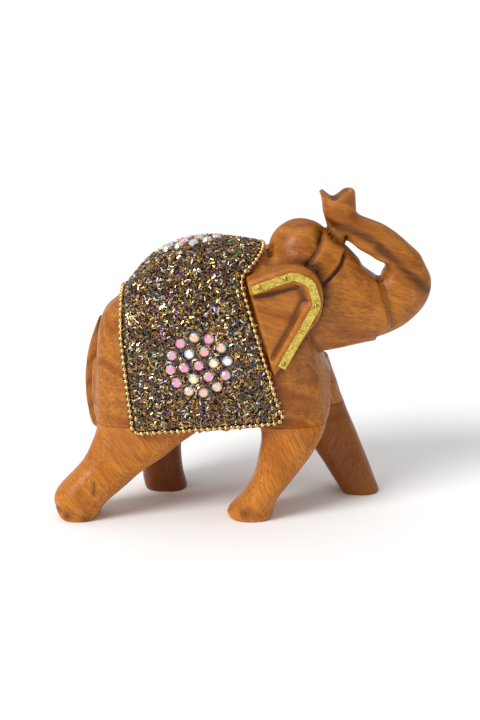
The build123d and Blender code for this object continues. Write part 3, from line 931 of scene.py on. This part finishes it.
stone_seats = {}
for where in ("right", "left", "top"):
    seats = seats_of("stones_" + where)
    stone_seats[where] = seats
    spots = [matrix_on(base, normal, rng.uniform(0, 6.28)) for base, normal in seats]
    places, faces = turned_copies(stone, spots)
    mesh = bpy.data.meshes.new("flower_" + where)
    mesh.from_pydata(places.tolist(), [], faces)
    flower = bpy.data.objects.new("flower_" + where, mesh)
    bpy.context.scene.collection.objects.link(flower)
    tints = []
    for _ in seats:
        main = rng.choice(STONE_REFLECTION_TINTS[:3] * 2 + STONE_REFLECTION_TINTS[6:8] + STONE_REFLECTION_TINTS[11:])
        for face in stone.data.polygons:
            pale = face.normal.z > 0.95
            # Each facet gets its own tint as a painted reflection of the iridescent coat; the white tints are painted
            # highlights.
            tints.append(main if pale or rng.random() < 0.25 else rng.choice(STONE_REFLECTION_TINTS))
    paint_faces(flower, tints)
    flower.data.materials.append(crystal)
    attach(flower, "root")
    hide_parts("stones_" + where)
    print(flower.name, "stones:", len(seats))

# %% [markdown]
# ## The beads
# The cloth is covered in short bugle beads, thrown on wet glue and pressed flat, so they lie
# every way round and over each other. One bead is a five-sided tube with its ends drawn in to
# the bore, which is few faces for a shape that is copied thousands of times. It is scattered
# over the outer faces of the CAD bead coat, and each copy gets one colour from a bead mix:
# mostly bronze and brown, with gold, teal, blue, purple, green and clear ones among them.

# %% Make one bead and scatter the coat
BEAD_RADIUS = 0.34
BEAD_LENGTH = 1.0
BEAD_SIDES = 5
deselect()
bpy.ops.mesh.primitive_cylinder_add(vertices=BEAD_SIDES, radius=BEAD_RADIUS * MM, depth=BEAD_LENGTH * MM)
bead = bpy.context.object
bpy.ops.object.mode_set(mode="EDIT")
bpy.ops.mesh.select_all(action="DESELECT")
bpy.ops.object.mode_set(mode="OBJECT")
for face in bead.data.polygons:
    face.select = abs(face.normal.z) > 0.9
bpy.ops.object.mode_set(mode="EDIT")
bpy.ops.mesh.select_mode(type="FACE")
bpy.ops.mesh.inset(thickness=0.13 * MM, depth=-0.2 * MM, use_individual=True)
bpy.ops.object.mode_set(mode="OBJECT")
print("faces on a bead:", len(bead.data.polygons))

BEAD_MIX = [  # share, colour, how metallic
    (0.33, (0.045, 0.014, 0.005), 0.2), (0.22, (0.21, 0.085, 0.012), 0.7), (0.17, (0.60, 0.36, 0.05), 0.9),
    (0.06, (0.15, 0.110, 0.018), 0.7), (0.08, (0.11, 0.018, 0.022), 0.5), (0.02, (0.02, 0.16, 0.17), 0.7),
    (0.02, (0.03, 0.10, 0.36), 0.7), (0.02, (0.17, 0.05, 0.22), 0.7), (0.055, (0.95, 0.88, 0.66), 0.8),
    (0.015, (0.70, 0.28, 0.34), 0.7), (0.01, (0.25, 0.62, 0.52), 0.8)]


def scatter(piece, share_of, amount):
    """Random places on a piece's faces, each with the face's normal."""
    centres, normals, areas = face_values(piece)
    chances = areas * share_of(centres)
    sums = np.cumsum(chances)
    corners = [face.vertices for face in piece.data.polygons]
    shape = points_mm(piece)
    spots = []
    for _ in range(amount):
        index = int(np.searchsorted(sums, rng.random() * sums[-1]))
        a, b, c = (shape[corner] for corner in corners[index][:3])
        u, v = rng.random(), rng.random()
        if u + v > 1:
            u, v = 1 - u, 1 - v
        spots.append((a + u * (b - a) + v * (c - a), normals[index]))
    return spots


glass = bpy.data.materials.new("bead_glass")
tree, shader = node_tree(glass)
tint = attribute(tree, "tint", "Color")
place = add(tree, "ShaderNodeTexCoord").outputs["Object"]
cloudy = stretched_noise(tree, place, (900, 900, 900), 2.0)
tree.links.new(mix(tree, ramp(tree, cloudy, [(0.45, grey(0.0)), (0.75, grey(0.35))]), tint, (0.55, 0.42, 0.22)), shader.inputs["Base Color"])
tree.links.new(attribute(tree, "metal"), shader.inputs["Metallic"])
tree.links.new(ramp(tree, cloudy, [(0.3, grey(0.10)), (0.7, grey(0.26))]), shader.inputs["Roughness"])
shader.inputs["Coat Weight"].default_value = 0.8
shader.inputs["Coat Roughness"].default_value = 0.05
ripple = add(tree, "ShaderNodeBump", Strength=0.2, Distance=0.0001)
tree.links.new(cloudy, ripple.inputs["Height"])
tree.links.new(ripple.outputs["Normal"], shader.inputs["Normal"])

chains = [name for name in nodes if name.startswith("chain")]
chain_points = np.concatenate([points_mm(nodes[name]) for name in chains])
chain_tree = KDTree(len(chain_points))
for index, place in enumerate(chain_points):
    chain_tree.insert(place, index)
chain_tree.balance()


def beside_chain(place, normal):
    """True where a bead can lie on the bare edge of the cloth, next to the chain."""
    return 0.42 < chain_tree.find(place + 0.35 * normal)[2] < 2.6


edge_cloth = copy_of_node("saddle_cloth", "edge_faces")
keep_outer_faces(edge_cloth)
bpy.ops.object.mode_set(mode="EDIT")
bpy.ops.mesh.select_all(action="SELECT")
bpy.ops.mesh.quads_convert_to_tris()
bpy.ops.object.mode_set(mode="OBJECT")
coat = copy_of_node("bead_coat", "coat_faces")
keep_outer_faces(coat)
bpy.ops.object.mode_set(mode="EDIT")
bpy.ops.mesh.select_all(action="SELECT")
bpy.ops.mesh.quads_convert_to_tris()
bpy.ops.object.mode_set(mode="OBJECT")
TOP_LINE = 98.0
EDGE_TRIES = 3600
EDGE_DEPTHS = (-0.35, -0.35, -0.7)
COAT_DEPTHS = (0.45, 0.45, 0.75, 1.1)
bead_groups = {
    "right": (lambda c: (c[:, 2] < TOP_LINE) & (c[:, 1] < 0), 5000),
    "left": (lambda c: (c[:, 2] < TOP_LINE) & (c[:, 1] > 0), 5000),
    "top": (lambda c: c[:, 2] >= TOP_LINE, 4700),
}
every_stone = np.array([base for seats in stone_seats.values() for base, _ in seats])
for where, (share_of, amount) in bead_groups.items():
    matrices, tints, metals = [], [], []
    spots = [(*spot, COAT_DEPTHS) for spot in scatter(coat, share_of, amount)]
    edge_spots = scatter(edge_cloth, share_of, EDGE_TRIES)
    spots += [(*spot, EDGE_DEPTHS) for spot in edge_spots if beside_chain(*spot)]
    for place, normal, depths in spots:
        gaps = np.linalg.norm(every_stone - place, axis=1)
        nearest = every_stone[gaps.argmin()]
        if gaps.min() < 3.15:
            continue
        spin = rng.uniform(0, math.tau)
        tilt = rng.gauss(0, 0.22)
        way = Vector(normal).orthogonal().normalized()
        way.rotate(Matrix.Rotation(spin, 3, Vector(normal)))
        if gaps.min() < 3.9:
            way = Vector(normal).cross(Vector(place - nearest)).normalized()
            tilt = 0
        way = (way + Vector(normal) * math.tan(tilt)).normalized()
        depth = rng.choice(depths)
        turn = matrix_on(place - normal * depth, way, rng.uniform(0, math.tau))
        matrices.append(turn @ Matrix.Diagonal((1, 1, rng.uniform(1.0, 1.9), 1)))
        pick_share, total = rng.random(), 0.0
        for share, colour, metal in BEAD_MIX:
            total += share
            if pick_share < total:
                break
        bright = rng.uniform(0.75, 1.35)
        tints += [tuple(min(1.0, value * bright) for value in colour)] * len(bead.data.polygons)
        metals += [metal] * len(bead.data.vertices)
    places, faces = turned_copies(bead, matrices)
    mesh = bpy.data.meshes.new("beads_" + where)
    mesh.from_pydata(places.tolist(), [], faces)
    beads = bpy.data.objects.new("beads_" + where, mesh)
    bpy.context.scene.collection.objects.link(beads)
    paint_faces(beads, tints)
    layer = mesh.attributes.new("metal", "FLOAT", "POINT")
    layer.data.foreach_set("value", np.array(metals, np.float32))
    mesh.materials.append(glass)
    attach(beads, "root")
    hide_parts("bead_coat")
    print(beads.name, "beads:", len(matrices))
discard(stone, bead, coat, edge_cloth)

# %% [markdown]
# ## Metal trim
# The ball chain and the nails keep their CAD nodes, because turned balls and round heads are
# already right, and they get a worn gilt. The brass strips on the ears are stamped all over
# with a fine grain, so copies of them are remeshed finely and their outer faces are punched.

# %% Make the metals and stamp the brass


def metal_finish(name, base, worn, roughness, grain):
    material = bpy.data.materials.new(name)
    tree, shader = node_tree(material)
    place = add(tree, "ShaderNodeTexCoord").outputs["Object"]
    wear = stretched_noise(tree, place, (grain, grain, grain), 4.0)
    tree.links.new(ramp(tree, wear, [(0.38, worn), (0.58, base)]), shader.inputs["Base Color"])
    shader.inputs["Metallic"].default_value = 1.0
    low, high = roughness
    tree.links.new(ramp(tree, wear, [(0.3, grey(high)), (0.7, grey(low))]), shader.inputs["Roughness"])
    dents = add(tree, "ShaderNodeBump", Strength=0.25, Distance=0.00008)
    tree.links.new(stretched_noise(tree, place, (grain * 4,) * 3, 2.0), dents.inputs["Height"])
    tree.links.new(dents.outputs["Normal"], shader.inputs["Normal"])
    return material


gilt = metal_finish("worn_gilt", (0.90, 0.60, 0.25), (0.60, 0.36, 0.13), (0.16, 0.34), 600)
brass = metal_finish("stamped_brass", (0.78, 0.60, 0.13), (0.50, 0.36, 0.06), (0.26, 0.46), 900)
nail_brass = metal_finish("nail_brass", (0.50, 0.38, 0.08), (0.28, 0.20, 0.04), (0.24, 0.46), 900)

kept = {"chain_front": gilt, "chain_rear": gilt, "chain_hem_right": gilt, "chain_hem_left": gilt,
        "ear_nails_right": nail_brass, "ear_nails_left": nail_brass}
for name, finish in kept.items():
    nodes[name].data.materials.clear()
    nodes[name].data.materials.append(finish)

for hand in ("right", "left"):
    strip = copy_of_node("ear_strip_" + hand, "stamped_strip_" + hand)
    strip.data.remesh_voxel_size = 0.2 * MM
    bpy.ops.object.voxel_remesh()
    places = points_mm(strip)
    normals = normals_of(strip)
    face_y = abs(places[:, 1]).max()
    on_face = (abs(normals[:, 1]) > 0.8) & (abs(places[:, 1]) > face_y - 0.15)
    for index in np.flatnonzero(on_face):
        x, _, z = places[index]
        punched = noise.noise(Vector((x * 1.5, 3.0, z * 1.5)), noise_basis="VORONOI_F1")
        places[index] -= normals[index] * 0.16 * punched
    move_points(strip, places)
    strip.data.materials.clear()
    strip.data.materials.append(brass)
    pick(strip)
    bpy.ops.object.shade_smooth_by_angle(angle=math.radians(60))
    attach(strip, "root")
    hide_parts("ear_strip_" + hand)
    print(strip.name, "faces:", len(strip.data.polygons))

# %% [markdown]

# %% [markdown]
# ## Floor, light and camera
# A plain pale sweep, a large soft light from high up on the left, on the camera's side, a weaker
# one from above, and a long lens a little above the elephant.

# %% Light the set
deselect()
bpy.ops.mesh.primitive_plane_add(size=30.0, location=(0, 0, 0))
floor = bpy.context.object
floor.name = "pale_floor"
paper = bpy.data.materials.new("pale_paper")
tree, shader = node_tree(paper)
shader.inputs["Base Color"].default_value = (1.0, 1.0, 1.0, 1)
shader.inputs["Roughness"].default_value = 0.9
shader.inputs["Specular IOR Level"].default_value = 0.1
floor.data.materials.append(paper)

world = bpy.data.worlds.new("soft_room")
bpy.context.scene.world = world
world.use_nodes = True
tree = world.node_tree
room = tree.nodes["Background"]
room.inputs["Color"].default_value = (1, 1, 1, 1)
room.inputs["Strength"].default_value = 0.48
white = add(tree, "ShaderNodeBackground")
white.inputs["Color"].default_value = (1, 1, 1, 1)
seen = add(tree, "ShaderNodeLightPath")
choice = add(tree, "ShaderNodeMixShader")
tree.links.new(seen.outputs["Is Camera Ray"], choice.inputs[0])
tree.links.new(room.outputs[0], choice.inputs[1])
tree.links.new(white.outputs[0], choice.inputs[2])
tree.links.new(choice.outputs[0], tree.nodes["World Output"].inputs["Surface"])


def soft_sun(name, towards, softness, strength):
    light = bpy.data.lights.new(name, "SUN")
    light.angle = math.radians(softness)
    light.energy = strength
    lamp = bpy.data.objects.new(name, light)
    bpy.context.scene.collection.objects.link(lamp)
    lamp.rotation_euler = Vector(towards).to_track_quat("-Z", "Y").to_euler()


soft_sun("key", (0.75, 0.62, -0.75), 25, 2.4)
soft_sun("top", (0.1, -0.2, -1.0), 60, 0.5)
bpy.context.scene.view_settings.view_transform = "Standard"

LOOK_DOWN = math.radians(16.5)
DISTANCE = 0.700
middle = (cad_low + cad_high) / 2
aim = Vector((middle.x - 0.84 * MM, middle.y, middle.z - 5.43 * MM))
lens = bpy.data.cameras.new("long_lens")
lens.lens = 80.46
lens.sensor_width = 36
camera = bpy.data.objects.new("camera", lens)
bpy.context.scene.collection.objects.link(camera)
camera.location = aim + DISTANCE * Vector((0, -math.cos(LOOK_DOWN), math.sin(LOOK_DOWN)))
camera.rotation_euler = (math.pi / 2 - LOOK_DOWN, 0, 0)
bpy.context.scene.camera = camera
